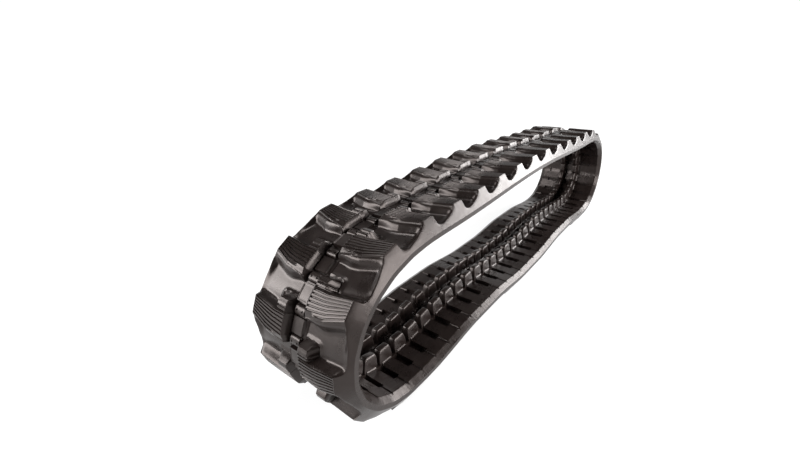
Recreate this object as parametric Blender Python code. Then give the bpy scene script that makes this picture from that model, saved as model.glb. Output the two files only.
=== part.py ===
"""Short-pitch rubber track for a mini excavator, 230 mm wide with 66 links of 48 mm, lying free.

The endless belt is modelled as twenty-two rubber sections of three links each. Every section holds
its own steel skeleton: three core bars and the stretch of the cord ply that ties them. The
sections meet at hinge lines on the cord line, where a real track bends between two core bars.

Run it with: blender --background --python part.py
"""

import math

import bmesh
import bpy
import numpy as np
from mathutils import Matrix, Vector

MM = 0.001

# The loop
LINKS = 66
PITCH = 48.0 * MM
LINKS_PER_SECTION = 3
SECTIONS = LINKS // LINKS_PER_SECTION
GROUND_LINK = 10.5
RIPPLE_LINKS = 12.0
RIPPLE_ANGLE = math.radians(6.4)
RESTING_SHARE = 0.50
FAR_BEND_START = 21.1
FAR_BEND_LINKS = 12.7
FAR_BEND_LEAD = 0.29
FRONT_BEND_END = 65.3
FRONT_BEND_LINKS = 12.5
FRONT_BEND_LEAD = -0.20
CROWN_ANGLE = math.radians(2.5)
CLOSING_TRIES = 40
CLOSING_STEP = 1e-4
CLOSING_GAP = 1e-10

# Belt section, as heights over the cord line: outward is positive
WIDTH = 230.0 * MM
INNER_FACE = -14.0 * MM
OUTER_FACE = 9.0 * MM
SHOULDER_WIDTH = 12.5 * MM
SHOULDER_DROP = 8.0 * MM
EDGE_TOP = 3.5 * MM
RIM_TOP = 18.0 * MM
RIM_SLOPE = 11.5 * MM
RIM_WIDTH = 5.0 * MM
RIM_FOOT = 9.0 * MM

# Tread lugs, one on each link, on the two sides in turn
LUG_TOP = 30.0 * MM
LUG_INNER_END = 20.0 * MM
LUG_OUTER_END = 100.0 * MM
LUG_TAIL = 28.0 * MM
LUG_KINK = 62.0 * MM
LUG_END_TAIL = 17.0 * MM
LUG_END_NOSE = 21.0 * MM
LUG_WAIST = 9.0 * MM
LUG_WAIST_AT = 52.0 * MM
TAB_REACH = 31.0 * MM
TAB_OUTER = 46.0 * MM
FLANK_SPREAD = 8.0 * MM
END_DRAFT = 3.0 * MM
LUG_ROOT = 3.0 * MM

# Guide teeth on the inner face, one pair on each link
TOOTH_HEIGHT = 30.0 * MM
TOOTH_INNER = 14.0 * MM
TOOTH_WIDTH = 21.0 * MM
TOOTH_LENGTH = 38.0 * MM
TOOTH_END_DRAFT = 9.0 * MM
TOOTH_INNER_DRAFT = 1.5 * MM
TOOTH_OUTER_DRAFT = 4.5 * MM
TOOTH_ROOT = 2.0 * MM

# Sprocket windows and relief slots, between the links
WINDOW_LENGTH = 24.0 * MM
WINDOW_WIDTH = 25.0 * MM
WINDOW_DEPTH = 11.5 * MM
SLOT_LENGTH = 12.0 * MM
SLOT_INNER = 36.0 * MM
SLOT_OUTER = 78.0 * MM
SLOT_DEPTH = 6.0 * MM
CUT_OVERSHOOT = 3.0 * MM

# Steel inside: core bars on the inner side of the cord ply
PLY_THICKNESS = 3.0 * MM
PLY_WIDTH = 176.0 * MM
CORE_INSET = 3.0 * MM
CORE_THICKNESS = 8.0 * MM
CORE_LENGTH = 18.0 * MM

# Fits
STEEL_GAP = 0.3 * MM
HINGE_GAP = 0.3 * MM
FLEX_ANGLE = math.radians(5.0)

# Mesh tolerances
MERGE_DISTANCE = 0.001 * MM
FLAT_ANGLE = math.radians(0.05)

RUBBER_COLOUR = (0.035, 0.031, 0.030, 1.0)
STEEL_COLOUR = (0.32, 0.31, 0.30, 1.0)


def clear_scene():
    for old in list(bpy.data.objects):
        bpy.data.objects.remove(old, do_unlink=True)


def material(name, colour, roughness, metallic):
    made = bpy.data.materials.new(name)
    made.use_nodes = True
    shader = made.node_tree.nodes["Principled BSDF"]
    shader.inputs["Base Color"].default_value = colour
    shader.inputs["Roughness"].default_value = roughness
    shader.inputs["Metallic"].default_value = metallic
    made.diffuse_color = colour
    return made


# Loop shape


def ease(t, lead=0.0):
    """Share of a bend that is turned at t: lead over 0 turns earlier, under 0 later."""
    t = min(max(t, 0.0), 1.0)
    t += lead * t * (1.0 - t)
    return t * t * (3.0 - 2.0 * t)


def ripple(link):
    """Slope of the ground run: level where it rests, humped in between."""
    wave = math.sin(2.0 * math.pi * (link - GROUND_LINK) / RIPPLE_LINKS)
    lifted = max(abs(wave) - RESTING_SHARE, 0.0) / (1.0 - RESTING_SHARE)
    return math.copysign(RIPPLE_ANGLE * lifted, wave)


def link_angles(far_start, front_links):
    """Direction of each link's chord, around the loop from the front end of the ground run."""
    front_start = FRONT_BEND_END - front_links
    top_links = front_start - far_start - FAR_BEND_LINKS
    angles = []
    for index in range(LINKS):
        middle = index + 0.5
        far_turn = ease((middle - far_start) / FAR_BEND_LINKS, FAR_BEND_LEAD)
        front_turn = ease((middle - front_start) / front_links, FRONT_BEND_LEAD)
        angle = math.pi * (far_turn + front_turn)
        if middle < far_start:
            angle += ripple(middle)
        along_top = (middle - far_start - FAR_BEND_LINKS) / top_links
        if 0.0 < along_top < 1.0:
            angle -= CROWN_ANGLE * math.sin(2.0 * math.pi * along_top)
        angles.append(angle)
    return angles


def end_gap(far_start, front_links):
    angles = link_angles(far_start, front_links)
    return np.array([sum(map(math.cos, angles)), sum(map(math.sin, angles))])


def closed_angles():
    """Shift the far bend and stretch the front bend until the loop closes on itself."""
    guess = np.array([FAR_BEND_START, FRONT_BEND_LINKS])
    step = CLOSING_STEP
    for _ in range(CLOSING_TRIES):
        gap = end_gap(*guess)
        if np.abs(gap).max() < CLOSING_GAP:
            break
        shifted = end_gap(guess[0] + step, guess[1])
        stretched = end_gap(guess[0], guess[1] + step)
        slopes = np.column_stack([(shifted - gap) / step, (stretched - gap) / step])
        guess = guess - np.linalg.solve(slopes, gap)
    return link_angles(*guess)


class Loop:
    """The closed chain of link chords on the cord line, with a mitre at each gap between links."""

    def __init__(self):
        self.angles = closed_angles()
        corners = [np.zeros(2)]
        for angle in self.angles:
            corners.append(corners[-1] + PITCH * np.array([math.cos(angle), math.sin(angle)]))
        self.corners = corners[:-1]
        self.mitres = [self.mitre(index) for index in range(LINKS)]
        self.settle()

    def mitre(self, index):
        """Outward vector in the plane between two links, one unit over each link's chord."""
        before = self.angles[index - 1] - (2.0 * math.pi if index == 0 else 0.0)
        after = self.angles[index]
        middle = 0.5 * (before + after)
        stretch = 1.0 / math.cos(0.5 * (after - before))
        return stretch * np.array([math.sin(middle), -math.cos(middle)])

    def settle(self):
        """Put the origin under the middle of the loop, with the lugs on the floor."""
        outer = [corner + LUG_TOP * mitre for corner, mitre in zip(self.corners, self.mitres)]
        low = np.min(outer, axis=0)
        high = np.max(outer, axis=0)
        shift = np.array([0.5 * (low[0] + high[0]), low[1]])
        self.corners = [corner - shift for corner in self.corners]

    def place(self, along, side, height):
        """World point of a place on the belt: along from link 0, to the side, over the cord line."""
        link = math.floor(along / PITCH)
        share = along / PITCH - link
        first = link % LINKS
        second = (link + 1) % LINKS
        start = self.corners[first] + height * self.mitres[first]
        end = self.corners[second] + height * self.mitres[second]
        spot = (1.0 - share) * start + share * end
        return Vector((spot[0], side, spot[1]))


# Mesh tools


def new_object(name, mesh_data):
    made = bpy.data.objects.new(name, mesh_data)
    bpy.context.scene.collection.objects.link(made)
    return made


def solid_from_loops(name, loops):
    """Closed solid through a row of equal point loops, capped at both ends."""
    mesh = bmesh.new()
    rows = [[mesh.verts.new(point) for point in loop] for loop in loops]
    count = len(rows[0])
    for lower, upper in zip(rows, rows[1:]):
        for index in range(count):
            following = (index + 1) % count
            mesh.faces.new((lower[index], lower[following], upper[following], upper[index]))
    mesh.faces.new(rows[0][::-1])
    mesh.faces.new(rows[-1])
    bmesh.ops.recalc_face_normals(mesh, faces=mesh.faces)
    data = bpy.data.meshes.new(name)
    mesh.to_mesh(data)
    mesh.free()
    return new_object(name, data)


def box(name, low, high):
    corners = [(low[0], low[1]), (high[0], low[1]), (high[0], high[1]), (low[0], high[1])]
    return solid_from_loops(name, [[(x, y, z) for x, y in corners] for z in (low[2], high[2])])


def combine(base, others, operation):
    """Apply one Boolean for each other solid, and remove the others."""
    for other in others:
        modifier = base.modifiers.new("combine", "BOOLEAN")
        modifier.operation = operation
        modifier.solver = "EXACT"
        modifier.object = other
    graph = bpy.context.evaluated_depsgraph_get()
    shaped = bpy.data.meshes.new_from_object(base.evaluated_get(graph))
    base.modifiers.clear()
    base.data = shaped
    for other in others:
        bpy.data.objects.remove(other, do_unlink=True)
    return base


# The flat section: X runs along the belt, Y across it and Z outward, with the origin on the cord line


def section_length():
    return LINKS_PER_SECTION * PITCH


def link_middles(extra=0):
    reach = LINKS_PER_SECTION // 2 + extra
    return [index * PITCH for index in range(-reach, reach + 1)]


def gap_places():
    half = section_length() / 2.0
    return [-half + index * PITCH for index in range(LINKS_PER_SECTION + 1)]


def belt_profile():
    """Cross section with a bevelled shoulder, a sloping outer wall and the rim of the tread's valleys."""
    half = WIDTH / 2.0
    rim = half - RIM_SLOPE
    side = [
        (rim - RIM_WIDTH - RIM_FOOT, OUTER_FACE),
        (rim - RIM_WIDTH, RIM_TOP),
        (rim, RIM_TOP),
        (half, EDGE_TOP),
        (half, INNER_FACE + SHOULDER_DROP),
        (half - SHOULDER_WIDTH, INNER_FACE),
    ]
    return side + [(-y, z) for y, z in reversed(side)]


def belt():
    end = section_length() / 2.0 + HINGE_GAP
    return solid_from_loops("belt", [[(x, y, z) for y, z in belt_profile()] for x in (-end, end)])


def lug_outline(grow_length, grow_end):
    """Kinked lug seen from above: a slanted outer arm, a straight inner arm and a tab by the strip."""
    inner = LUG_INNER_END - grow_end
    outer = LUG_OUTER_END + grow_end
    return [
        (-TAB_REACH - grow_length, inner),
        (-TAB_REACH - grow_length, TAB_OUTER + grow_end),
        (-LUG_WAIST - grow_length, LUG_WAIST_AT + grow_end),
        (-LUG_END_NOSE - grow_length, outer),
        (LUG_END_TAIL + grow_length, outer),
        (LUG_TAIL + grow_length, LUG_KINK),
        (LUG_TAIL + grow_length, inner),
    ]


def lug(middle, side):
    foot = [(middle + x, side * y, OUTER_FACE - LUG_ROOT) for x, y in lug_outline(FLANK_SPREAD, END_DRAFT)]
    top = [(middle + x, side * y, LUG_TOP) for x, y in lug_outline(0.0, 0.0)]
    return solid_from_loops("lug", [foot, top])


def guide_tooth(middle, side):
    half = TOOTH_LENGTH / 2.0
    outer = TOOTH_INNER + TOOTH_WIDTH
    crest_half = half - TOOTH_END_DRAFT
    crest_inner = TOOTH_INNER + TOOTH_INNER_DRAFT
    crest_outer = outer - TOOTH_OUTER_DRAFT
    foot = [(-half, TOOTH_INNER), (half, TOOTH_INNER), (half, outer), (-half, outer)]
    crest = [
        (-crest_half, crest_inner),
        (crest_half, crest_inner),
        (crest_half, crest_outer),
        (-crest_half, crest_outer),
    ]
    root = TOOTH_ROOT / TOOTH_HEIGHT
    buried = [(x + root * (x - u), y + root * (y - v)) for (x, y), (u, v) in zip(foot, crest)]
    loops = [
        [(middle + x, side * y, INNER_FACE + TOOTH_ROOT) for x, y in buried],
        [(middle + x, side * y, INNER_FACE - TOOTH_HEIGHT) for x, y in crest],
    ]
    return solid_from_loops("guide_tooth", loops)


def sprocket_window(place):
    low = (place - WINDOW_LENGTH / 2.0, -WINDOW_WIDTH / 2.0, INNER_FACE - CUT_OVERSHOOT)
    high = (place + WINDOW_LENGTH / 2.0, WINDOW_WIDTH / 2.0, INNER_FACE + WINDOW_DEPTH)
    return box("sprocket_window", low, high)


def relief_slot(place, side):
    ends = sorted((side * SLOT_INNER, side * SLOT_OUTER))
    low = (place - SLOT_LENGTH / 2.0, ends[0], INNER_FACE - CUT_OVERSHOOT)
    high = (place + SLOT_LENGTH / 2.0, ends[1], INNER_FACE + SLOT_DEPTH)
    return box("relief_slot", low, high)


def hinge_clip(reach):
    """Space between two hinge lines: the end faces open outward and inward for the belt to flex."""
    end = section_length() / 2.0 - HINGE_GAP / 2.0
    lean = math.tan(FLEX_ANGLE / 2.0) * reach
    outline = [
        (-end + lean, -reach),
        (end - lean, -reach),
        (end, 0.0),
        (end - lean, reach),
        (-end + lean, reach),
        (-end, 0.0),
    ]
    return solid_from_loops("clip", [[(x, y, z) for x, z in outline] for y in (-WIDTH, WIDTH)])


def cord_ply(grow, end):
    half_width = PLY_WIDTH / 2.0 + grow
    half_thickness = PLY_THICKNESS / 2.0 + grow
    return box("cord_ply", (-end, -half_width, -half_thickness), (end, half_width, half_thickness))


def core_bar(middle, grow):
    half = CORE_LENGTH / 2.0 + grow
    reach = PLY_WIDTH / 2.0 - CORE_INSET + grow
    foot = -PLY_THICKNESS / 2.0 - CORE_THICKNESS - grow
    return box("core_bar", (middle - half, -reach, foot), (middle + half, reach, 0.0))


def skeleton(grow, end):
    """Steel of one section in one solid, or with grow the room that it takes in the rubber."""
    return combine(cord_ply(grow, end), [core_bar(middle, grow) for middle in link_middles()], "UNION")


def flat_rubber():
    """One rubber section, with lugs on the +Y, -Y and +Y side of its three links."""
    added = []
    for order, middle in enumerate(link_middles(extra=1)):
        added.append(lug(middle, -1 if order % 2 == 0 else 1))
    for middle in link_middles():
        added += [guide_tooth(middle, side) for side in (-1, 1)]
    body = combine(belt(), added, "UNION")
    cut = []
    for place in gap_places():
        cut.append(sprocket_window(place))
        cut += [relief_slot(place, side) for side in (-1, 1)]
    cut.append(skeleton(STEEL_GAP, section_length()))
    body = combine(body, cut, "DIFFERENCE")
    return combine(body, [hinge_clip(LUG_TOP + TOOTH_HEIGHT)], "INTERSECT")


def flat_steel():
    body = skeleton(0.0, section_length() / 2.0)
    return combine(body, [hinge_clip(LUG_TOP + TOOTH_HEIGHT)], "INTERSECT")


def split_at_gaps(flat):
    """Edges at the gaps inside the section, so that it can follow the loop from link to link."""
    mesh = bmesh.new()
    mesh.from_mesh(flat.data)
    bmesh.ops.remove_doubles(mesh, verts=mesh.verts, dist=MERGE_DISTANCE)
    bmesh.ops.dissolve_limit(mesh, angle_limit=FLAT_ANGLE, verts=mesh.verts, edges=mesh.edges)
    for place in gap_places()[1:-1]:
        parts = mesh.verts[:] + mesh.edges[:] + mesh.faces[:]
        bmesh.ops.bisect_plane(
            mesh, geom=parts, dist=MERGE_DISTANCE, plane_co=(place, 0, 0), plane_no=(1, 0, 0)
        )
    bmesh.ops.triangulate(mesh, faces=mesh.faces)
    mesh.to_mesh(flat.data)
    mesh.free()
    return flat


def wrap(flat, name, loop, section, skin):
    """Copy of a flat solid on its stretch of the loop, with its origin on its first hinge line."""
    start = section * LINKS_PER_SECTION * PITCH
    middle = start + section_length() / 2.0
    mirrored = section % 2 == 1
    origin = loop.place(start, 0.0, 0.0)
    mesh = bmesh.new()
    mesh.from_mesh(flat.data)
    if mirrored:
        bmesh.ops.transform(mesh, matrix=Matrix.Scale(-1.0, 4, (0, 1, 0)), verts=mesh.verts)
    else:
        bmesh.ops.reverse_faces(mesh, faces=mesh.faces)
    for vert in mesh.verts:
        vert.co = loop.place(middle + vert.co.x, vert.co.y, vert.co.z) - origin
    data = bpy.data.meshes.new(name)
    mesh.to_mesh(data)
    mesh.free()
    made = new_object(name, data)
    made.location = origin
    made.data.materials.clear()
    made.data.materials.append(skin)
    return made


def build():
    clear_scene()
    loop = Loop()
    rubber = material("black_rubber", RUBBER_COLOUR, 0.48, 0.0)
    steel = material("forged_steel", STEEL_COLOUR, 0.40, 1.0)
    flats = [
        ("rubber_section", split_at_gaps(flat_rubber()), rubber),
        ("steel_core_section", split_at_gaps(flat_steel()), steel),
    ]
    for section in range(SECTIONS):
        for label, flat, skin in flats:
            wrap(flat, f"{label}_{section + 1:02d}", loop, section, skin)
    for _, flat, _ in flats:
        bpy.data.objects.remove(flat, do_unlink=True)


build()
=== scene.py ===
"""Finish of a rubber track for a mini excavator: moulded rubber sections, steel cores and the stage."""

import math

import bmesh
import bpy
import numpy as np
from mathutils import Matrix, Vector


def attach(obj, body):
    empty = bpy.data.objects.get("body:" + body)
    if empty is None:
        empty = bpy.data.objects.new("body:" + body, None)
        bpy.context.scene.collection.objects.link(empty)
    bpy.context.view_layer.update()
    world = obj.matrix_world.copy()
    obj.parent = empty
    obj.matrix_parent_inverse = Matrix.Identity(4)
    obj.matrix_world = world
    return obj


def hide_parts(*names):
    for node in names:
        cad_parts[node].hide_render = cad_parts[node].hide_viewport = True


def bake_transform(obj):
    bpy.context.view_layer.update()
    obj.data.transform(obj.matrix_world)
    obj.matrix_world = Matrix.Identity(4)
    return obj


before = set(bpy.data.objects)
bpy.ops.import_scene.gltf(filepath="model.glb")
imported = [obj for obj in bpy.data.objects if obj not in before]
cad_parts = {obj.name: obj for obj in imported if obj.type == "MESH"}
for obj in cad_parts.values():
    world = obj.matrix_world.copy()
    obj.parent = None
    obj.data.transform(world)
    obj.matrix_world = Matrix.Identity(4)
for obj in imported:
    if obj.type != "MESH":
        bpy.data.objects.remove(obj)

bl_info = {
    "name": "Rubber track",
    "version": (1, 0, 0),
    "blender": (4, 5, 0),
    "location": "View3D > Sidebar > Rubber track",
    "description": "Builds the moulded rubber of an endless excavator track round its steel cores",
    "category": "Add Mesh",
}

MM = 0.001

# The cord line of the loop, in links and degrees, as in the CAD source
LINKS = 66
PITCH = 48.0
LINKS_PER_SECTION = 3
GROUND_LINK = 10.5
RIPPLE_LINKS = 12.0
RIPPLE_ANGLE = 6.4
RESTING_SHARE = 0.5
FAR_BEND_START = 21.1
FAR_BEND_LINKS = 12.7
FAR_BEND_LEAD = 0.29
FRONT_BEND_END = 65.3
FRONT_BEND_LINKS = 12.5
FRONT_BEND_LEAD = -0.20
CROWN_ANGLE = 2.5
CLOSING_TRIES = 40
CLOSING_STEP = 1e-4
CLOSING_GAP = 1e-10
OPEN_CORNER = 42
CORNER_ROUNDING = 0.3

# Heights over the cord line and distances from the middle of the belt, in mm
HALF_WIDTH = 115.0
INNER_FACE = -14.0
SHOULDER_SIDE = 102.5
SIDE_BOTTOM = -6.0
SIDE_TOP = 3.5
VALLEY_FLOOR = 11.0
LUG_TOP = 30.0
PLATE_TOP = 29.65
INNER_WALL_SLOPE = 0.30
LUG_INNER_END = 20.0
LUG_OUTER_END = 99.0
WALL_SLOPE = (HALF_WIDTH - LUG_OUTER_END) / (LUG_TOP - SIDE_TOP)
LUG_PERIOD = 2.0 * PITCH
RIB_DEPTH = 2.4
RIB_COUNT = 7
CORNER_FALL = 0.55
CORNER_REACH = 10.0
CORNER_END_SIDE = 62.0
TAB_REACH = -21.6
TAB_OUTER = 41.0
TAB_FOOT = 6.0
LUG_SHIFT = 9.0
LUG_STIFFNESS = 0.5
LUG_HOLD_HEIGHTS = (12.0, 24.0)
LUG_HOLD_REACH = (34.0, 46.0)
TOOTH_HOLD_DEPTHS = (14.0, 18.0)
STRIP_HALF_WIDTH = 16.0
STRIP_SHIFT = 10.6
GROOVE_FLOOR = 12.0


# Shape of the loop

def ease(share, lead=0.0):
    """Smooth rise from 0 to 1, leaning to its start where lead is above 0."""
    share = min(max(share, 0.0), 1.0)
    share += lead * share * (1.0 - share)
    return share * share * (3.0 - 2.0 * share)


def ripple(link):
    """Slope of the ground run, which lies level and rises in low humps between."""
    wave = math.sin(2.0 * math.pi * (link - GROUND_LINK) / RIPPLE_LINKS)
    lifted = max(abs(wave) - RESTING_SHARE, 0.0) / (1.0 - RESTING_SHARE)
    return math.copysign(math.radians(RIPPLE_ANGLE) * lifted, wave)


def link_angles(far_start, front_links):
    """Direction of each link round the loop, in radians."""
    front_start = FRONT_BEND_END - front_links
    top_links = front_start - far_start - FAR_BEND_LINKS
    angles = []
    for index in range(LINKS):
        middle = index + 0.5
        far = ease((middle - far_start) / FAR_BEND_LINKS, FAR_BEND_LEAD)
        front = ease((middle - front_start) / front_links, FRONT_BEND_LEAD)
        angle = math.pi * (far + front)
        if middle < far_start:
            angle += ripple(middle)
        along_top = (middle - far_start - FAR_BEND_LINKS) / top_links
        if 0.0 < along_top < 1.0:
            angle -= math.radians(CROWN_ANGLE) * math.sin(2.0 * math.pi * along_top)
        angles.append(angle)
    return angles


def end_gap(guess):
    """How far the last link ends from the first, in links."""
    angles = link_angles(guess[0], guess[1])
    return np.array([sum(map(math.cos, angles)), sum(map(math.sin, angles))])


def closed_angles():
    """Link directions with which the loop closes exactly."""
    guess = np.array([FAR_BEND_START, FRONT_BEND_LINKS])
    for _ in range(CLOSING_TRIES):
        gap = end_gap(guess)
        if np.abs(gap).max() < CLOSING_GAP:
            return np.array(link_angles(guess[0], guess[1]))
        slopes = [(end_gap(guess + step) - gap) / CLOSING_STEP for step in np.eye(2) * CLOSING_STEP]
        guess = guess - np.linalg.solve(np.column_stack(slopes), gap)
    raise RuntimeError("the loop doesn't close")


class CordLine:
    """The closed line of the belt's cords, and places on the belt measured from it, in mm."""

    def __init__(self):
        self.angles = closed_angles()
        steps = PITCH * np.stack([np.cos(self.angles), np.sin(self.angles)], 1)
        corners = np.concatenate([[[0.0, 0.0]], np.cumsum(steps, 0)])[:-1]
        before = np.roll(self.angles, 1)
        before[0] -= 2.0 * math.pi
        middle = 0.5 * (before + self.angles)
        stretch = 1.0 / np.cos(0.5 * (self.angles - before))
        outer = corners + LUG_TOP * stretch[:, None] * np.stack([np.sin(middle), -np.cos(middle)], 1)
        shift = np.array([0.5 * (outer[:, 0].min() + outer[:, 0].max()), outer[:, 1].min()])
        self.corners = corners - shift
        self.forward = np.stack([np.cos(self.angles), np.sin(self.angles)], 1)
        self.outward = np.stack([np.sin(self.angles), -np.cos(self.angles)], 1)

    def bent(self, along, height):
        """Points in x and z on the belt, along in links, with the corners between links rounded."""
        link = np.floor(along).astype(int)
        share = along - link
        near = np.where(share < 0.5, link, link + 1)
        offset = along - near
        first = (near - 1) % LINKS
        second = near % LINKS
        turn = np.clip(0.5 + 0.5 * offset / CORNER_ROUNDING, 0.0, 1.0)[:, None]
        reach = CORNER_ROUNDING * PITCH
        entry = -reach * self.forward[first]
        leave = reach * self.forward[second]
        rounded = (1.0 - turn) ** 2 * entry + turn ** 2 * leave
        beyond = np.maximum(np.abs(offset) - CORNER_ROUNDING, 0.0)[:, None] * PITCH
        ways = np.where(offset[:, None] < 0.0, -self.forward[first], self.forward[second])
        rounded = rounded + beyond * ways
        normal = (1.0 - turn) * self.outward[first] + turn * self.outward[second]
        normal /= np.linalg.norm(normal, axis=1, keepdims=True)
        return self.corners[second] + rounded + height[:, None] * normal

    def rigid(self, link, along, height):
        """Points in x and z on the straight frame of one link, along in links."""
        index = link % LINKS
        middle = self.corners[index] + 0.5 * PITCH * self.forward[index]
        reach = (along - link - 0.5)[:, None] * PITCH
        return middle + reach * self.forward[index] + height[:, None] * self.outward[index]

    def lug_frame(self, lug, along, height):
        """Points in x and z on the straight frame of a lug, which leans a little to the next link."""
        centre = lug + 0.5 + LUG_SHIFT / PITCH
        lean = LUG_SHIFT / PITCH
        outward = (1.0 - lean) * self.outward[lug % LINKS] + lean * self.outward[(lug + 1) % LINKS]
        outward /= np.linalg.norm(outward, axis=1, keepdims=True)
        forward = np.stack([-outward[:, 1], outward[:, 0]], 1)
        origin = self.bent(centre, np.zeros(len(along)))
        return origin + (along - centre)[:, None] * PITCH * forward + height[:, None] * outward

    def point(self, along, side=0.0, height=0.0):
        """World point of one place on the belt, in metres."""
        spot = self.bent(np.array([float(along)]), np.array([float(height)]))[0]
        return Vector((spot[0] * MM, side * MM, spot[1] * MM))


def smooth_step(value, low, high):
    """0 below low, 1 above high, and a smooth rise between."""
    share = np.clip((value - low) / (high - low), 0.0, 1.0)
    return share * share * (3.0 - 2.0 * share)


def wrap(cord_line, flat):
    """Wrap flat places (links along, mm to the side, mm out) round the loop: lugs and teeth stay stiff."""
    along, side, height = flat.T
    is_tooth = height < INNER_FACE
    first_lug = np.where(side > 0.0, 0, 1)
    shift = 0.5 + LUG_SHIFT / PITCH
    lug = first_lug + 2 * np.round((along - shift - first_lug) / 2.0).astype(int)
    reach = np.abs(along - lug - shift) * PITCH
    lug_hold = smooth_step(height, *LUG_HOLD_HEIGHTS) * (1.0 - smooth_step(reach, *LUG_HOLD_REACH))
    lug_hold = lug_hold * LUG_STIFFNESS * (np.abs(side) > STRIP_HALF_WIDTH)
    hold = np.where(is_tooth, smooth_step(-height, *TOOTH_HOLD_DEPTHS), lug_hold)[:, None]
    link = np.floor(along).astype(int)
    stiff = np.where(
        is_tooth[:, None], cord_line.rigid(link, along, height), cord_line.lug_frame(lug, along, height)
    )
    spots = (1.0 - hold) * cord_line.bent(along, height) + hold * stiff
    return np.stack([spots[:, 0], side, spots[:, 1]], 1) * MM


# Flat shells: closed skins of a straight stretch of belt

def tube(rings, closed_ends=False):
    """Vertices and faces of a skin through rings of points, each ring a closed outline."""
    rings = np.asarray(rings, float)
    count, size = rings.shape[:2]
    faces = []
    for row in range(count - 1):
        for spot in range(size):
            after = (spot + 1) % size
            low = row * size
            high = low + size
            faces.append((low + spot, low + after, high + after, high + spot))
    if closed_ends:
        faces.append(tuple(range(size))[::-1])
        faces.append(tuple((count - 1) * size + spot for spot in range(size)))
    return rings.reshape(-1, 3), faces


def mirrored(shell):
    """The shell on the other side of the belt's middle."""
    points, faces = shell
    return points * np.array([1.0, -1.0, 1.0]), [face[::-1] for face in faces]


def tail_edge(side):
    """Along-place of a lug's rear edge, in mm from its link's middle."""
    return np.interp(side, [20.0, 62.5, 99.0, 115.0], [39.5, 33.4, 21.5, 16.3])


def nose_edge(side):
    """Along-place of a lug's front edge beside its tab."""
    return np.interp(side, [20.0, 50.0, 99.0, 115.0], [-1.5, -1.5, -8.4, -10.6])


# Share of a rib's pitch from its crest, and share of the groove's depth
RIB_PROFILE = ((0.0, 0.0), (0.48, 0.0), (0.58, 0.75), (0.66, 1.0), (0.82, 1.0), (0.90, 0.75), (1.0, 0.0))
RIB_TURNS = tuple(share for share, _ in RIB_PROFILE[:-1])


def rib_height(behind_tail, length, side):
    """Height of the ribbed plate, measured forward from the tail edge."""
    turns = behind_tail / length * RIB_COUNT
    table = np.array(RIB_PROFILE)
    groove = np.interp(turns % 1.0, table[:, 0], table[:, 1])
    fold = CORNER_REACH * (1.0 - (side - LUG_INNER_END) / (CORNER_END_SIDE - LUG_INNER_END))
    past_fold = np.maximum(fold - behind_tail, 0.0)
    facet = np.clip(past_fold / 1.5, 0.0, 1.0)
    edge = smooth_step(side, LUG_OUTER_END - 0.8, LUG_OUTER_END - 3.0)
    inner = smooth_step(side, LUG_INNER_END + 0.7, LUG_INNER_END + 2.4)
    return PLATE_TOP - RIB_DEPTH * groove * (1.0 - facet) * edge * inner - CORNER_FALL * past_fold


# Steps along the belt in mm, each with its height
NOSE_STEPS = (
    (-8.0, 11.1), (-6.2, 11.8), (-4.9, 14.0), (-3.6, 18.5), (-2.4, 24.0), (-1.3, 28.0), (-0.4, 29.4),
)
TAIL_STEPS = (
    (0.0, 29.4), (0.5, 28.2), (1.0, 27.0), (2.2, 26.6), (3.6, 25.9), (5.2, 24.6), (6.6, 22.9), (7.8, 20.9),
    (8.8, 18.7), (9.7, 16.5), (10.7, 14.5), (12.0, 12.9), (13.8, 11.8), (16.0, 11.3), (18.5, 11.0),
)
VALLEY_COLUMNS = 18
TREAD_SIDES = (
    20.0, 20.7, 22.5, 25.0, 28.0, 31.0, 35.0, 39.0, 43.0, 47.0, 50.0, 53.0, 56.0, 59.0, 61.0, 62.5, 64.0,
    67.0, 71.0, 75.0, 79.0, 83.0, 86.0, 88.5, 90.5, 92.5, 94.2, 95.6, 96.8, 97.8, 98.5, 99.0,
)
# Share of the way from a lug's tail to the next lug's nose, and height of the valley's outer rim
RIM_HEIGHTS = (
    (0.0, 29.0), (0.035, 27.0), (0.1, 24.0), (0.35, 17.5), (0.62, 13.6), (0.8, 12.0), (0.93, 14.0),
    (1.0, 18.0),
)
RIM_START_SIDE = 91.5
RIM_FULL_SIDE = 99.2
RIDGE_REACH = 7.0
RIDGE_HEIGHT = 2.4
RIDGE_WIDTH = 2.4


def tread_columns(side):
    """Along-places and base heights of one lug period at one side distance, nose first."""
    nose = nose_edge(side)
    tail = tail_edge(side)
    places = [nose + step for step, _ in NOSE_STEPS]
    heights = [height for _, height in NOSE_STEPS]
    length = tail - nose
    turns = [rib + share for rib in range(RIB_COUNT) for share in RIB_TURNS]
    plate = tail - length / RIB_COUNT * np.array(turns[:0:-1])
    places.extend(plate)
    heights.extend(rib_height(tail - plate, length, side))
    taper = 0.45 + 0.55 * smooth_step(side, 22.0, 54.0)
    edge_height = rib_height(0.0, length, side)
    places.extend(tail + taper * step for step, _ in TAIL_STEPS)
    heights.extend(min(height, edge_height) for _, height in TAIL_STEPS)
    valley_start = tail + taper * TAIL_STEPS[-1][0]
    valley_end = nose + LUG_PERIOD + NOSE_STEPS[0][0]
    places.extend(np.linspace(valley_start, valley_end, VALLEY_COLUMNS + 1)[1:-1])
    heights.extend([VALLEY_FLOOR] * (VALLEY_COLUMNS - 1))
    return np.array(places), np.array(heights)


def rim_height(places, side):
    """Height of the valley's outer rim between two lugs."""
    tail = tail_edge(side)
    span = nose_edge(side) + LUG_PERIOD - tail
    share = np.where(places < nose_edge(side), places + LUG_PERIOD - tail, places - tail) / span
    table = np.array(RIM_HEIGHTS)
    return np.interp(share, table[:, 0], table[:, 1])


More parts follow.
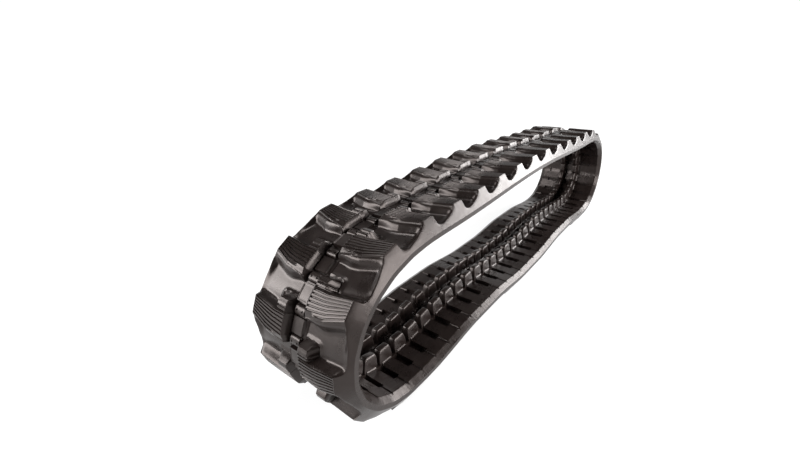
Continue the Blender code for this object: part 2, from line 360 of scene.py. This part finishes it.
def tread_height(places, heights, side):
    """Height of the tread at each column: plate, bar and scooped valley with its rim and ridge."""
    on_plate = (places >= nose_edge(side) - 1e-6) & (places <= tail_edge(side))
    rising = smooth_step(side, RIM_START_SIDE, RIM_FULL_SIDE)
    scooped = heights + rising * (rim_height(places, side) - heights)
    ahead = np.where(places > 0.5 * LUG_PERIOD, places - LUG_PERIOD, places)
    past_end = np.maximum(TAB_REACH - ahead, 0.0)
    past_side = max(side - TAB_OUTER - 6.0, 0.0) - 0.35 * np.clip(ahead + 12.0, 0.0, 8.0)
    off_line = np.hypot(past_end, np.maximum(past_side, 0.0)) - RIDGE_REACH
    ridge = RIDGE_HEIGHT * np.exp(-((off_line / RIDGE_WIDTH) ** 2)) * smooth_step(-ahead, 7.0, 11.0)
    return np.where(on_plate, heights, np.maximum(scooped, VALLEY_FLOOR + ridge))


def tread_shell(first_lug, last_lug):
    """One row of lugs with its valleys, on the side that counts up, as a closed skin."""
    columns = []
    for side in TREAD_SIDES:
        places, heights = tread_columns(side)
        columns.append((places, tread_height(places, heights, side)))
    places = np.stack([column[0] for column in columns], 1)
    heights = np.stack([column[1] for column in columns], 1)
    sides = np.tile(np.array(TREAD_SIDES), (len(places), 1))
    edge = HALF_WIDTH - (heights[:, -1:] - SIDE_TOP) * WALL_SLOPE
    stretch = np.clip((sides - 80.0) / (LUG_OUTER_END - 80.0), 0.0, 1.0)
    sides = sides + stretch * (edge - LUG_OUTER_END)
    heights[:, -1] -= 0.5
    heights[:, 0] -= 0.5
    rings = []
    for lug in range(first_lug, last_lug + 1, 2):
        for index in range(len(places)):
            along = lug + 0.5 + places[index] / PITCH
            rings.append(tread_ring(along, sides[index], heights[index]))
    return tube(rings)


def tread_ring(along, sides, heights):
    """One cross outline of the tread: over the top, down the outer wall and back inside the belt."""
    top = np.stack([along, sides, heights], 1)
    last = along[-1]
    top_height = heights[-1]
    wall = []
    for share in (0.12, 0.4, 0.7, 1.0):
        height = top_height + share * (SIDE_TOP - top_height)
        wall.append((last, HALF_WIDTH - (height - SIDE_TOP) * WALL_SLOPE, height))
    wall.append((last, HALF_WIDTH - 0.4, SIDE_TOP - 0.6))
    wall.append((last, HALF_WIDTH - 4.0, SIDE_TOP - 2.5))
    inner = along[0]
    back = [(0.5 * (last + inner), 66.0, 1.0), (inner, 22.0, 1.0)]
    for share in (1.0, 0.5):
        drop = share * max(heights[0] - GROOVE_FLOOR + 2.0, 1.0)
        back.append((inner, LUG_INNER_END - drop * INNER_WALL_SLOPE, heights[0] - drop))
    return np.concatenate([top, np.array(wall), np.array(back)])


TAB_FLANK = ((-5.2, 10.0), (-4.0, 12.0), (-2.8, 16.5), (-1.7, 22.5), (-0.8, 27.6), (-0.2, 29.2))
TAB_SIDES = (20.0, 20.7, 22.5, 26.0, 30.0, 34.0, 36.5, 38.5, 39.8, 40.6, 41.0)
TAB_DROP = 2.6
TAB_BACK = -1.0
TAB_BACK_HEIGHT = 26.0
# Distance beyond the tab's side, and share of its height
TAB_OUTSIDE = ((1.4, 0.86), (4.0, 0.6), (8.0, 0.34), (13.0, 0.0))


def tab_shell(lug):
    """The ribbed tab in front of a lug, beside the centre strip."""
    sides = np.array(TAB_SIDES)
    tail = tail_edge(LUG_INNER_END)
    length = tail - nose_edge(LUG_INNER_END)
    rows = [(TAB_REACH + step, np.full(len(sides), height)) for step, height in TAB_FLANK]
    turns = [rib + share for rib in range(RIB_COUNT, RIB_COUNT + 4) for share in RIB_TURNS]
    for turn in turns[::-1]:
        place = tail - length / RIB_COUNT * turn
        if TAB_REACH + 0.3 < place < -2.0:
            ribbed = smooth_step(place, TAB_REACH + 7.0, TAB_REACH + 11.0)
            rows.append((place, PLATE_TOP - (PLATE_TOP - rib_height(tail - place, length, sides)) * ribbed))
    rows.append((TAB_BACK, np.full(len(sides), TAB_BACK_HEIGHT)))
    rings = []
    for place, heights in rows:
        heights = heights - TAB_DROP * (1.0 - smooth_step(place, TAB_REACH, TAB_REACH + 7.0))
        heights[[0, -1]] -= 0.5
        along = lug + 0.5 + place / PITCH
        top = np.stack([np.full(len(sides), along), sides, heights], 1)
        outer = [
            (along, TAB_OUTER + beyond, TAB_FOOT + share * (heights[-1] - TAB_FOOT))
            for beyond, share in TAB_OUTSIDE
        ]
        back = [
            (along, LUG_INNER_END - (heights[0] - TAB_FOOT) * INNER_WALL_SLOPE, TAB_FOOT),
            (
                along, LUG_INNER_END - 0.5 * (heights[0] - TAB_FOOT) * INNER_WALL_SLOPE,
                0.5 * (TAB_FOOT + heights[0]),
            ),
        ]
        rings.append(np.concatenate([top, np.array(outer), np.array(back)]))
    return tube(rings, closed_ends=True)


def strip_height(along_mm, side):
    """Height of the centre strip: tall and low pads by turns, with a dimpled lump between them."""
    place = (along_mm + PITCH) % LUG_PERIOD - PITCH
    away = abs(place)
    pad = 8.5 * smooth_step(-away, -13.6, -12.9) * smooth_step(-abs(side), -12.2, -11.6)
    rim = max(smooth_step(away, 11.4, 12.2), smooth_step(abs(side), 9.8, 10.6))
    pad *= 0.93 + 0.07 * rim
    low = 4.2 * smooth_step(-abs(away - PITCH), -13.2, -12.4) * smooth_step(-abs(side), -15.4, -11.4)
    lump = 7.5 * np.clip(1.0 - (abs(away - 25.0) / 8.6) ** 2.8, 0.0, 1.0) ** 0.5
    lump *= smooth_step(-abs(side), -12.8, -10.4)
    dent = 2.4 * np.clip(1.0 - ((away - 25.0) ** 2 + (abs(side) - 6.5) ** 2) / 3.4, 0.0, 1.0)
    floor = GROOVE_FLOOR - 2.6 * smooth_step(abs(side), 16.5, STRIP_EDGE)
    return floor + max(pad, low, lump - dent)


STRIP_EDGE = 21.5
STRIP_SIDES = (
    0.0, 2.5, 4.6, 5.5, 6.5, 7.5, 8.4, 9.8, 10.6, 11.2, 11.8, 12.3, 12.9, 14.0, 15.4, 17.5, 19.5, STRIP_EDGE,
)
STRIP_STEPS = (
    0.0, 3.0, 6.0, 9.0, 11.4, 12.3, 12.9, 13.6, 15.2, 16.4, 16.8, 17.6, 19.0, 21.0, 23.4, 24.3, 25.0,
    25.7, 26.6, 29.0, 31.0, 32.4, 33.2, 33.6, 34.8, 35.6, 38.0, 41.0, 44.5,
)


def strip_shell(first, last, pad_parity):
    """The centre strip over links first to last, with a tall pad on every second link, as a closed skin."""
    sides = np.array([-side for side in STRIP_SIDES[:0:-1]] + list(STRIP_SIDES))
    rings = []
    for link in range(first, last + 1):
        steps = STRIP_STEPS
        start = 0.0
        if link % 2 != pad_parity:
            steps = [PITCH - step for step in STRIP_STEPS[:0:-1]]
            start = PITCH
        for step in steps:
            along = link + 0.5 + (step + STRIP_SHIFT) / PITCH
            heights = np.array([float(strip_height(start + step, side)) for side in sides])
            top = np.stack([np.full(len(sides), along), sides, heights], 1)
            back = [(along, STRIP_EDGE, 1.0), (along, -STRIP_EDGE, 1.0)]
            rings.append(np.concatenate([top, np.array(back)]))
    return tube(rings)


# Steps from a gap line and distances from the middle at which the inner face is drawn
INNER_STEPS = (0.0, 1.8, 2.6, 3.2, 4.6, 6.4, 7.8, 8.2, 8.8, 11.6, 12.1, 13.0, 16.0, 20.0)
INNER_SIDES = (
    0.0, 6.0, 11.8, 12.4, 13.2, 20.0, 30.0, 35.6, 36.2, 37.0, 50.0, 64.0, 77.2, 78.0, 78.8, 85.0, 92.0,
    101.2, 102.6, 104.0, 108.0, 112.0, 114.2, 115.0,
)
WINDOW_DEPTH = 11.0
SLOT_DEPTH = 9.0
CREASE_DEPTH = 1.7


def inner_height(gap, side):
    """Height of the inner face at a distance from the gap line: window, relief slot and crease."""
    base = np.interp(side, [SHOULDER_SIDE, HALF_WIDTH], [INNER_FACE, SIDE_BOTTOM])
    window = WINDOW_DEPTH * smooth_step(-gap, -12.3, -11.8) * smooth_step(-side, -12.5, -11.9)
    slot = SLOT_DEPTH * smooth_step(-gap, -8.6, -7.9) * smooth_step(side, 35.8, 36.6)
    slot *= smooth_step(-side, -78.4, -77.4)
    crease = CREASE_DEPTH * smooth_step(-gap, -3.4, -1.8) * smooth_step(side, 77.0, 79.0)
    crease *= smooth_step(-side, -104.5, -101.0)
    return base + np.maximum(np.maximum(window, slot), crease)


# Side faces of the belt and its outer face below the tread
CARCASS_BACK = (
    (-HALF_WIDTH, -1.0), (-HALF_WIDTH, SIDE_TOP), (-HALF_WIDTH + 3.0, SIDE_TOP + 0.3),
    (-HALF_WIDTH + 8.0, 6.5), (0.0, 6.5), (HALF_WIDTH - 8.0, 6.5),
    (HALF_WIDTH - 3.0, SIDE_TOP + 0.3), (HALF_WIDTH, SIDE_TOP), (HALF_WIDTH, -1.0),
)


def carcass_shell(first, last):
    """The belt itself, with its inner face, shoulders and side faces, as a closed skin."""
    steps = sorted(set([-step for step in INNER_STEPS] + list(INNER_STEPS)))
    sides = np.array(sorted(set([-side for side in INNER_SIDES] + list(INNER_SIDES))))
    rings = []
    for gap_line in range(first, last + 1):
        for step in steps:
            along = gap_line + step / PITCH
            heights = np.array([float(inner_height(abs(step), abs(side))) for side in sides])
            inner = np.stack([np.full(len(sides), along), sides, heights], 1)[::-1]
            rest = [(along, side, height) for side, height in CARCASS_BACK]
            rings.append(np.concatenate([inner, np.array(rest)]))
    return tube(rings)


# Height over the inner face, half length, inner side, outer side and corner cut of a guide tooth
TOOTH_LEVELS = (
    (-3.0, 19.6, 13.6, 35.2, 1.2),
    (0.0, 19.5, 13.8, 35.0, 1.3),
    (8.0, 19.0, 14.2, 34.0, 1.5),
    (16.0, 18.0, 14.8, 32.9, 1.8),
    (22.0, 16.8, 15.3, 32.0, 2.0),
    (26.4, 15.2, 15.8, 31.0, 2.2),
    (28.6, 13.8, 16.6, 29.8, 2.2),
    (29.7, 12.4, 17.8, 28.4, 2.0),
    (30.0, 11.0, 19.2, 26.8, 1.8),
)


def tooth_outline(half_length, inner, outer, cut):
    """Eight-cornered outline of a guide tooth with eased corners, in mm from its link's middle."""
    corners = [
        (half_length - cut, inner), (half_length, inner + 0.7 * cut), (half_length, outer - 0.7 * cut),
        (half_length - cut, outer), (cut - half_length, outer), (-half_length, outer - 0.7 * cut),
        (-half_length, inner + 0.7 * cut), (cut - half_length, inner),
    ]
    points = []
    count = len(corners)
    for index, corner in enumerate(corners):
        for other in (corners[index - 1], corners[(index + 1) % count]):
            reach = math.dist(corner, other)
            share = min(0.6 / reach, 0.3)
            points.append([corner[axis] + share * (other[axis] - corner[axis]) for axis in range(2)])
    return points


def tooth_shell(link):
    """One guide tooth of a link on the side that counts up."""
    rings = []
    for height, half_length, inner, outer, cut in TOOTH_LEVELS:
        outline = tooth_outline(half_length, inner, outer, cut)
        rings.append([(link + 0.5 + along / PITCH, side, INNER_FACE - height) for along, side in outline])
    return tube(rings, closed_ends=True)


# Height over the inner face, half length and outer side of a ledge
LEDGE_LEVELS = ((-3.0, 13.4, 37.0), (0.0, 13.3, 36.9), (2.4, 13.0, 36.8), (4.2, 12.4, 35.2))
LEDGE_INNER = 30.0


def ledge_shell(link):
    """The low ledge at the outer foot of a guide tooth."""
    rings = []
    for height, half_length, outer in LEDGE_LEVELS:
        start = link + 0.5 - half_length / PITCH
        end = link + 0.5 + half_length / PITCH
        level = INNER_FACE - height
        outline = ((end, LEDGE_INNER), (end, outer), (start, outer), (start, LEDGE_INNER))
        rings.append([(along, side, level) for along, side in outline])
    return tube(rings, closed_ends=True)


def flat_belt(pad_parity):
    """All skins of a straight stretch that reaches past one section of three links."""
    parts = [carcass_shell(-1, 4), strip_shell(-3, 5, pad_parity)]
    parts.append(tread_shell(-2, 4))
    parts.append(mirrored(tread_shell(-3, 5)))
    for lug in (0, 2, 4):
        parts.append(tab_shell(lug))
    for lug in (-1, 1, 3):
        parts.append(mirrored(tab_shell(lug)))
    for link in range(-1, 4):
        for shell in (tooth_shell(link), ledge_shell(link)):
            parts.append(shell)
            parts.append(mirrored(shell))
    return parts


def cut_stretch(parts, start, end):
    """The stretch of flat belt between two places, in links, each skin closed by flat ends."""
    belt = bmesh.new()
    for points, faces in parts:
        if points[:, 0].max() < start or points[:, 0].min() > end:
            continue
        skin = bmesh.new()
        corners = [skin.verts.new(point) for point in points]
        for face in faces:
            skin.faces.new([corners[index] for index in face])
        for place, way in ((start, -1.0), (end, 1.0)):
            everything = skin.verts[:] + skin.edges[:] + skin.faces[:]
            result = bmesh.ops.bisect_plane(
                skin, geom=everything, dist=1e-7, plane_co=(place, 0.0, 0.0), plane_no=(way, 0.0, 0.0),
                clear_outer=True,
            )
            rim = [item for item in result["geom_cut"] if isinstance(item, bmesh.types.BMEdge)]
            rim = [edge for edge in rim if edge.is_boundary]
            if rim:
                bmesh.ops.holes_fill(skin, edges=rim, sides=0)
        wide = [face for face in skin.faces if len(face.verts) > 4]
        bmesh.ops.triangulate(skin, faces=wide)
        bmesh.ops.recalc_face_normals(skin, faces=skin.faces[:])
        piece = bpy.data.meshes.new("skin")
        skin.to_mesh(piece)
        skin.free()
        belt.from_mesh(piece)
        bpy.data.meshes.remove(piece)
    mesh = bpy.data.meshes.new("flat_belt")
    belt.to_mesh(mesh)
    belt.free()
    return mesh


# Materials

def new_material(name, base, roughness):
    """A node material with its shader's plain values set on the shader itself."""
    material = bpy.data.materials.new(name)
    material.use_nodes = True
    shader = material.node_tree.nodes["Principled BSDF"]
    shader.inputs["Base Color"].default_value = (*base, 1.0)
    shader.inputs["Roughness"].default_value = roughness
    return material, shader


def add_node(material, kind, **values):
    """A node with the values of its named inputs."""
    node = material.node_tree.nodes.new(kind)
    for name, value in values.items():
        node.inputs[name.replace("_", " ")].default_value = value
    return node


def rubber_material(settings):
    """Satin black rubber with a mottled bloom, fine grain and uneven gloss."""
    material, shader = new_material("moulded_rubber", settings.rubber_colour, settings.rubber_roughness)
    shader.inputs["Specular IOR Level"].default_value = 0.37
    shader.inputs["Specular Tint"].default_value = (1.0, 0.88, 0.84, 1.0)
    links = material.node_tree.links
    place = add_node(material, "ShaderNodeTexCoord")
    blotches = add_node(material, "ShaderNodeTexNoise", Scale=26.0, Detail=6.0, Roughness=0.6)
    links.new(place.outputs["Object"], blotches.inputs["Vector"])
    tint = add_node(material, "ShaderNodeValToRGB")
    tint.color_ramp.elements[0].position = 0.35
    tint.color_ramp.elements[0].color = (*settings.rubber_colour, 1.0)
    tint.color_ramp.elements[1].position = 0.72
    tint.color_ramp.elements[1].color = (*settings.bloom_colour, 1.0)
    links.new(blotches.outputs["Fac"], tint.inputs["Fac"])
    links.new(tint.outputs["Color"], shader.inputs["Base Color"])
    gloss = add_node(
        material, "ShaderNodeMapRange", To_Min=settings.rubber_roughness - 0.07,
        To_Max=settings.rubber_roughness + 0.10,
    )
    links.new(blotches.outputs["Fac"], gloss.inputs["Value"])
    links.new(gloss.outputs["Result"], shader.inputs["Roughness"])
    grain = add_node(material, "ShaderNodeTexNoise", Scale=900.0, Detail=3.0, Roughness=0.6)
    links.new(place.outputs["Object"], grain.inputs["Vector"])
    waves = add_node(material, "ShaderNodeTexNoise", Scale=70.0, Detail=2.0, Roughness=0.5)
    links.new(place.outputs["Object"], waves.inputs["Vector"])
    belt = add_node(material, "ShaderNodeAttribute")
    belt.attribute_name = "belt_place"
    fine = add_node(material, "ShaderNodeBump", Strength=0.2, Distance=0.00012)
    links.new(grain.outputs["Fac"], fine.inputs["Height"])
    broad = add_node(material, "ShaderNodeBump", Strength=0.25, Distance=0.0009)
    links.new(waves.outputs["Fac"], broad.inputs["Height"])
    links.new(fine.outputs["Normal"], broad.inputs["Normal"])
    lines = add_node(material, "ShaderNodeBump", Strength=0.5, Distance=0.0008)
    links.new(liner_lines(material, belt), lines.inputs["Height"])
    links.new(broad.outputs["Normal"], lines.inputs["Normal"])
    links.new(lines.outputs["Normal"], shader.inputs["Normal"])
    return material


def belt_range(material, value, low, high):
    """0 where a place on the belt is at low, 1 where it is at high, in metres."""
    node = add_node(material, "ShaderNodeMapRange", From_Min=low, From_Max=high)
    material.node_tree.links.new(value, node.inputs["Value"])
    return node.outputs["Result"]


def streaks(material, belt, stretch, scale):
    """Noise on the belt's own lengths, drawn out by the given stretch."""
    links = material.node_tree.links
    squeeze = add_node(material, "ShaderNodeVectorMath")
    squeeze.operation = "MULTIPLY"
    squeeze.inputs[1].default_value = stretch
    links.new(belt.outputs["Vector"], squeeze.inputs[0])
    noise = add_node(material, "ShaderNodeTexNoise", Scale=scale, Detail=3.0, Roughness=0.7)
    links.new(squeeze.outputs["Vector"], noise.inputs["Vector"])
    return noise.outputs["Fac"]


def liner_lines(material, belt):
    """Marks of the mould's liner: across the bevelled edges, and along the roller paths."""
    links = material.node_tree.links
    parts = add_node(material, "ShaderNodeSeparateXYZ")
    links.new(belt.outputs["Vector"], parts.inputs["Vector"])
    side = tree_math(material, "ABSOLUTE", parts.outputs["Y"])
    on_edge = belt_range(material, side, 0.1005, 0.1035)
    inside = belt_range(material, parts.outputs["Z"], 0.002, -0.004)
    across = tree_math(material, "MULTIPLY", on_edge, streaks(material, belt, (1.0, 0.1, 0.1), 230.0))
    on_path = belt_range(material, side, 0.1035, 0.1005)
    along = tree_math(material, "MULTIPLY", on_path, streaks(material, belt, (0.06, 1.0, 1.0), 260.0))
    both = tree_math(material, "ADD", across, along)
    return tree_math(material, "MULTIPLY", both, inside)


def tree_math(material, operation, *values):
    """The output of a maths node over the given sockets."""
    node = material.node_tree.nodes.new("ShaderNodeMath")
    node.operation = operation
    for socket, value in zip(node.inputs, values):
        material.node_tree.links.new(value, socket)
    return node.outputs[0]


def steel_material(settings):
    """Forged steel with scale: dark, rough and slightly mottled."""
    material, shader = new_material("forged_steel", settings.steel_colour, 0.5)
    links = material.node_tree.links
    shader.inputs["Metallic"].default_value = 1.0
    place = add_node(material, "ShaderNodeTexCoord")
    scale = add_node(material, "ShaderNodeTexNoise", Scale=60.0, Detail=8.0, Roughness=0.65)
    links.new(place.outputs["Object"], scale.inputs["Vector"])
    tint = add_node(material, "ShaderNodeValToRGB")
    tint.color_ramp.elements[0].color = (*settings.steel_colour, 1.0)
    tint.color_ramp.elements[1].color = (0.09, 0.07, 0.06, 1.0)
    links.new(scale.outputs["Fac"], tint.inputs["Fac"])
    links.new(tint.outputs["Color"], shader.inputs["Base Color"])
    bump = add_node(material, "ShaderNodeBump", Strength=0.4, Distance=0.0005)
    links.new(scale.outputs["Fac"], bump.inputs["Height"])
    links.new(bump.outputs["Normal"], shader.inputs["Normal"])
    return material


def shown_rays(material):
    """1 for the rays that show the background: from the camera, by gloss or through glass."""
    rays = add_node(material, "ShaderNodeLightPath").outputs
    both = tree_math(material, "MAXIMUM", rays["Is Camera Ray"], rays["Is Glossy Ray"])
    return tree_math(material, "MAXIMUM", both, rays["Is Transmission Ray"])


GLOW_NEAR = 0.9
GLOW_FAR = 2.6


def floor_glow(material, settings):
    """Glow that rises from the object's surroundings to full white far out, so no horizon shows."""
    links = material.node_tree.links
    place = add_node(material, "ShaderNodeTexCoord")
    reach = add_node(material, "ShaderNodeVectorMath")
    reach.operation = "LENGTH"
    links.new(place.outputs["Object"], reach.inputs[0])
    rise = add_node(
        material, "ShaderNodeMapRange", From_Min=GLOW_NEAR, From_Max=GLOW_FAR, To_Min=settings.floor_glow,
        To_Max=1.0,
    )
    rise.interpolation_type = "SMOOTHSTEP"
    links.new(reach.outputs["Value"], rise.inputs["Value"])
    return rise.outputs["Result"]


def backdrop_material(name, settings):
    """A pale surface that shows as white and keeps the object's shadow."""
    material, shader = new_material(name, settings.floor_colour, 0.9)
    shader.inputs["Specular IOR Level"].default_value = 0.1
    links = material.node_tree.links
    glow = add_node(material, "ShaderNodeEmission")
    strength = tree_math(material, "MULTIPLY", shown_rays(material), floor_glow(material, settings))
    links.new(strength, glow.inputs["Strength"])
    both = add_node(material, "ShaderNodeAddShader")
    links.new(shader.outputs["BSDF"], both.inputs[0])
    links.new(glow.outputs["Emission"], both.inputs[1])
    output = material.node_tree.nodes["Material Output"]
    links.new(both.outputs["Shader"], output.inputs["Surface"])
    return material


class RubberTrackSettings(bpy.types.PropertyGroup):
    """Finish of the track and its stage."""

    rubber_colour: bpy.props.FloatVectorProperty(
        name="Rubber", description="Colour of the moulded rubber", subtype="COLOR", size=3,
        default=(0.0098, 0.0066, 0.0058), min=0.0, max=1.0,
    )
    bloom_colour: bpy.props.FloatVectorProperty(
        name="Bloom", description="Colour of the pale bloom on the rubber", subtype="COLOR", size=3,
        default=(0.019, 0.0138, 0.0124), min=0.0, max=1.0,
    )
    rubber_roughness: bpy.props.FloatProperty(
        name="Roughness", description="Mean roughness of the rubber", default=0.27, min=0.0, max=1.0,
        subtype="FACTOR",
    )
    sharp_angle: bpy.props.FloatProperty(
        name="Sharp edges", description="Angle above which an edge is shaded sharp",
        default=math.radians(38.0), subtype="ANGLE",
    )
    steel_colour: bpy.props.FloatVectorProperty(
        name="Steel", description="Colour of the forged steel cores", subtype="COLOR", size=3,
        default=(0.20, 0.19, 0.18), min=0.0, max=1.0,
    )
    floor_colour: bpy.props.FloatVectorProperty(
        name="Floor", description="Colour of the floor", subtype="COLOR", size=3,
        default=(0.30, 0.30, 0.30), min=0.0, max=1.0,
    )
    floor_glow: bpy.props.FloatProperty(
        name="Floor glow", description="Light that the floor shows near the track", default=0.78, min=0.0,
        max=2.0, subtype="FACTOR",
    )


class RUBBERTRACK_OT_rubber(bpy.types.Operator):
    """Mould the rubber of every section round the loop"""

    bl_idname = "rubber_track.rubber"
    bl_label = "Rubber sections"

    def execute(self, context):
        settings = context.scene.rubber_track
        material = rubber_material(settings)
        cord_line = CordLine()
        middle = 0.5 * LINKS_PER_SECTION
        ends = {"first": (0.0, middle), "last": (middle, float(LINKS_PER_SECTION))}
        stretches = {}
        for turned, pad_parity in ((0, 1), (1, 0)):
            parts = flat_belt(pad_parity)
            for end, (start, finish) in ends.items():
                stretches[turned, end] = cut_stretch(parts, start, finish)
        sections = LINKS // LINKS_PER_SECTION
        for index in range(sections):
            for end in ends:
                piece = self.mould(context, cord_line, stretches[index % 2, end], index, end)
                piece.data.materials.append(material)
                piece.data.set_sharp_from_angle(angle=settings.sharp_angle)
                self.fasten(piece, cord_line, index, end, sections)
        for stretch in stretches.values():
            bpy.data.meshes.remove(stretch)
        return {"FINISHED"}

    def mould(self, context, cord_line, stretch, index, end):
        """One half of a section, wrapped on its place of the loop."""
        name = f"rubber_{index + 1:02d}_{end}"
        mesh = stretch.copy()
        mesh.name = name
        flat = np.empty(len(mesh.vertices) * 3)
        mesh.vertices.foreach_get("co", flat)
        flat = flat.reshape(-1, 3)
        if index % 2 == 1:
            flat[:, 1] *= -1.0
            mesh.flip_normals()
        flat[:, 0] += index * LINKS_PER_SECTION
        mesh.vertices.foreach_set("co", wrap(cord_line, flat).ravel())
        place = mesh.attributes.new("belt_place", "FLOAT_VECTOR", "POINT")
        place.data.foreach_set("vector", (flat * (PITCH * MM, MM, MM)).ravel())
        mesh.polygons.foreach_set("use_smooth", np.ones(len(mesh.polygons), bool))
        mesh.update()
        piece = bpy.data.objects.new(name, mesh)
        context.scene.collection.objects.link(piece)
        return piece

    def fasten(self, piece, cord_line, index, end, sections):
        """Attach the piece to its section's body at the open corner, else bake its place into the mesh, and
        hide the CAD rubber of its section.
        """
        node = f"rubber_section_{index + 1:02d}"
        corner = LINKS_PER_SECTION * (index if end == "first" else index + 1)
        own = f"section_{index + 1:02d}"
        if corner == OPEN_CORNER:
            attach(piece, own)
        else:
            start = cord_line.point(corner - 0.75)
            finish = cord_line.point(corner + 0.75)
            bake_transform(piece)
        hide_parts(node)


class RUBBERTRACK_OT_steel(bpy.types.Operator):
    """Give the steel cores inside the rubber their forged finish"""

    bl_idname = "rubber_track.steel"
    bl_label = "Steel cores"

    def execute(self, context):
        material = steel_material(context.scene.rubber_track)
        for name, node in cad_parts.items():
            if name.startswith("steel"):
                node.data.materials.clear()
                node.data.materials.append(material)
        return {"FINISHED"}


# The photograph's camera, in metres, degrees and mm
CAMERA_PLACE = (-1.01903, -0.44579, 0.59796)
CAMERA_YAW = 38.443
CAMERA_PITCH = 22.876
CAMERA_ROLL = 1.298
CAMERA_LENS = 17.830

# The backdrop, in metres and degrees round the track
WALL_REACH = 12.0
WALL_FOOT = -0.5
WALL_HEAD = 4.5
WALL_START = -75
WALL_END = 165
WALL_STEP = 5


class RUBBERTRACK_OT_stage(bpy.types.Operator):
    """Set up the pale floor, the soft lights and the camera"""

    bl_idname = "rubber_track.stage"
    bl_label = "Stage"

    def execute(self, context):
        settings = context.scene.rubber_track
        self.floor(context, settings)
        self.backdrop(context, settings)
        self.lights(context)
        self.world(context)
        self.camera(context)
        context.scene.view_settings.view_transform = "Standard"
        return {"FINISHED"}

    def floor(self, context, settings):
        """A wide round floor under the track."""
        builder = bmesh.new()
        bmesh.ops.create_circle(builder, cap_ends=True, radius=30.0, segments=96)
        mesh = bpy.data.meshes.new("floor")
        builder.to_mesh(mesh)
        builder.free()
        floor = bpy.data.objects.new("floor", mesh)
        floor.location = (0.0, 0.0, -0.0005)
        mesh.materials.append(backdrop_material("pale_floor", settings))
        context.scene.collection.objects.link(floor)

    def backdrop(self, context, settings):
        """A pale curved wall far behind the track."""
        builder = bmesh.new()
        columns = []
        for degrees in range(WALL_START, WALL_END + 1, WALL_STEP):
            across = WALL_REACH * math.cos(math.radians(degrees))
            away = WALL_REACH * math.sin(math.radians(degrees))
            foot = builder.verts.new((across, away, WALL_FOOT))
            head = builder.verts.new((across, away, WALL_HEAD))
            columns.append((foot, head))
        for near, far in zip(columns, columns[1:]):
            builder.faces.new((near[0], near[1], far[1], far[0]))
        mesh = bpy.data.meshes.new("backdrop")
        builder.to_mesh(mesh)
        builder.free()
        wall = bpy.data.objects.new("backdrop", mesh)
        mesh.materials.append(backdrop_material("pale_backdrop", settings))
        context.scene.collection.objects.link(wall)

    def lights(self, context):
        """Lamps low along the near side and at the far right, one at the front left and one overhead."""
        middle = (0.0, 0.0, 0.2)
        near_target = (0.0, 0.0, 0.3)
        self.area_light(context, "key", (1.85, -1.45, 0.66), middle, 1.5, 0.55, 32.0)
        self.area_light(context, "far_right", (2.15, -0.9, 1.25), middle, 1.3, 0.8, 46.0)
        self.area_light(context, "near_side", (0.3, -2.3, 0.8), near_target, 2.4, 1.0, 94.0)
        self.area_light(context, "overhead", (-0.2, 0.9, 2.3), middle, 1.2, 0.5, 18.0)
        self.area_light(context, "front_left", (-2.0, 1.3, 0.95), middle, 1.9, 1.0, 66.0)

    def area_light(self, context, name, place, target, width, height, power):
        data = bpy.data.lights.new(name, "AREA")
        data.shape = "RECTANGLE"
        data.size = width
        data.size_y = height
        data.energy = power
        lamp = bpy.data.objects.new(name, data)
        lamp.location = place
        lamp.rotation_euler = (Vector(target) - Vector(place)).to_track_quat("-Z", "Y").to_euler()
        context.scene.collection.objects.link(lamp)

    def world(self, context):
        """Plain dim light all round."""
        world = bpy.data.worlds.new("studio")
        world.use_nodes = True
        background = world.node_tree.nodes["Background"]
        background.inputs["Color"].default_value = (1.0, 1.0, 1.0, 1.0)
        background.inputs["Strength"].default_value = 0.08
        context.scene.world = world

    def camera(self, context):
        """The photograph's view."""
        yaw = math.radians(CAMERA_YAW)
        pitch = math.radians(CAMERA_PITCH)
        roll = math.radians(CAMERA_ROLL)
        look = Vector((math.cos(yaw) * math.cos(pitch), math.sin(yaw) * math.cos(pitch), -math.sin(pitch)))
        level = Vector((math.sin(yaw), -math.cos(yaw), 0.0))
        below = look.cross(level)
        right = math.cos(roll) * level + math.sin(roll) * below
        down = -math.sin(roll) * level + math.cos(roll) * below
        data = bpy.data.cameras.new("photo_view")
        data.lens = CAMERA_LENS
        data.sensor_fit = "HORIZONTAL"
        data.sensor_width = 36.0
        camera = bpy.data.objects.new("photo_view", data)
        turn = Matrix((right, -down, -look)).transposed().to_4x4()
        camera.matrix_world = Matrix.Translation(Vector(CAMERA_PLACE)) @ turn
        context.scene.collection.objects.link(camera)
        context.scene.camera = camera


class RUBBERTRACK_PT_panel(bpy.types.Panel):
    """Settings and steps of the rubber track"""

    bl_idname = "RUBBERTRACK_PT_panel"
    bl_label = "Rubber track"
    bl_space_type = "VIEW_3D"
    bl_region_type = "UI"
    bl_category = "Rubber track"

    def draw(self, context):
        layout = self.layout
        settings = context.scene.rubber_track
        for name in settings.__annotations__:
            layout.prop(settings, name)
        for operator in OPERATORS:
            layout.operator(operator.bl_idname)


OPERATORS = (RUBBERTRACK_OT_rubber, RUBBERTRACK_OT_steel, RUBBERTRACK_OT_stage)
CLASSES = (RubberTrackSettings, *OPERATORS, RUBBERTRACK_PT_panel)


def register():
    for item in CLASSES:
        bpy.utils.register_class(item)
    bpy.types.Scene.rubber_track = bpy.props.PointerProperty(type=RubberTrackSettings)


def unregister():
    del bpy.types.Scene.rubber_track
    for item in reversed(CLASSES):
        bpy.utils.unregister_class(item)


def corners(box):
    """A box's two corners as plain lists."""
    return [[float(value) for value in corner] for corner in box]


def main():
    register()
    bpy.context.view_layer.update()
    bpy.ops.rubber_track.rubber()
    bpy.ops.rubber_track.steel()
    bpy.ops.rubber_track.stage()


if __name__ == "__main__":
    main()
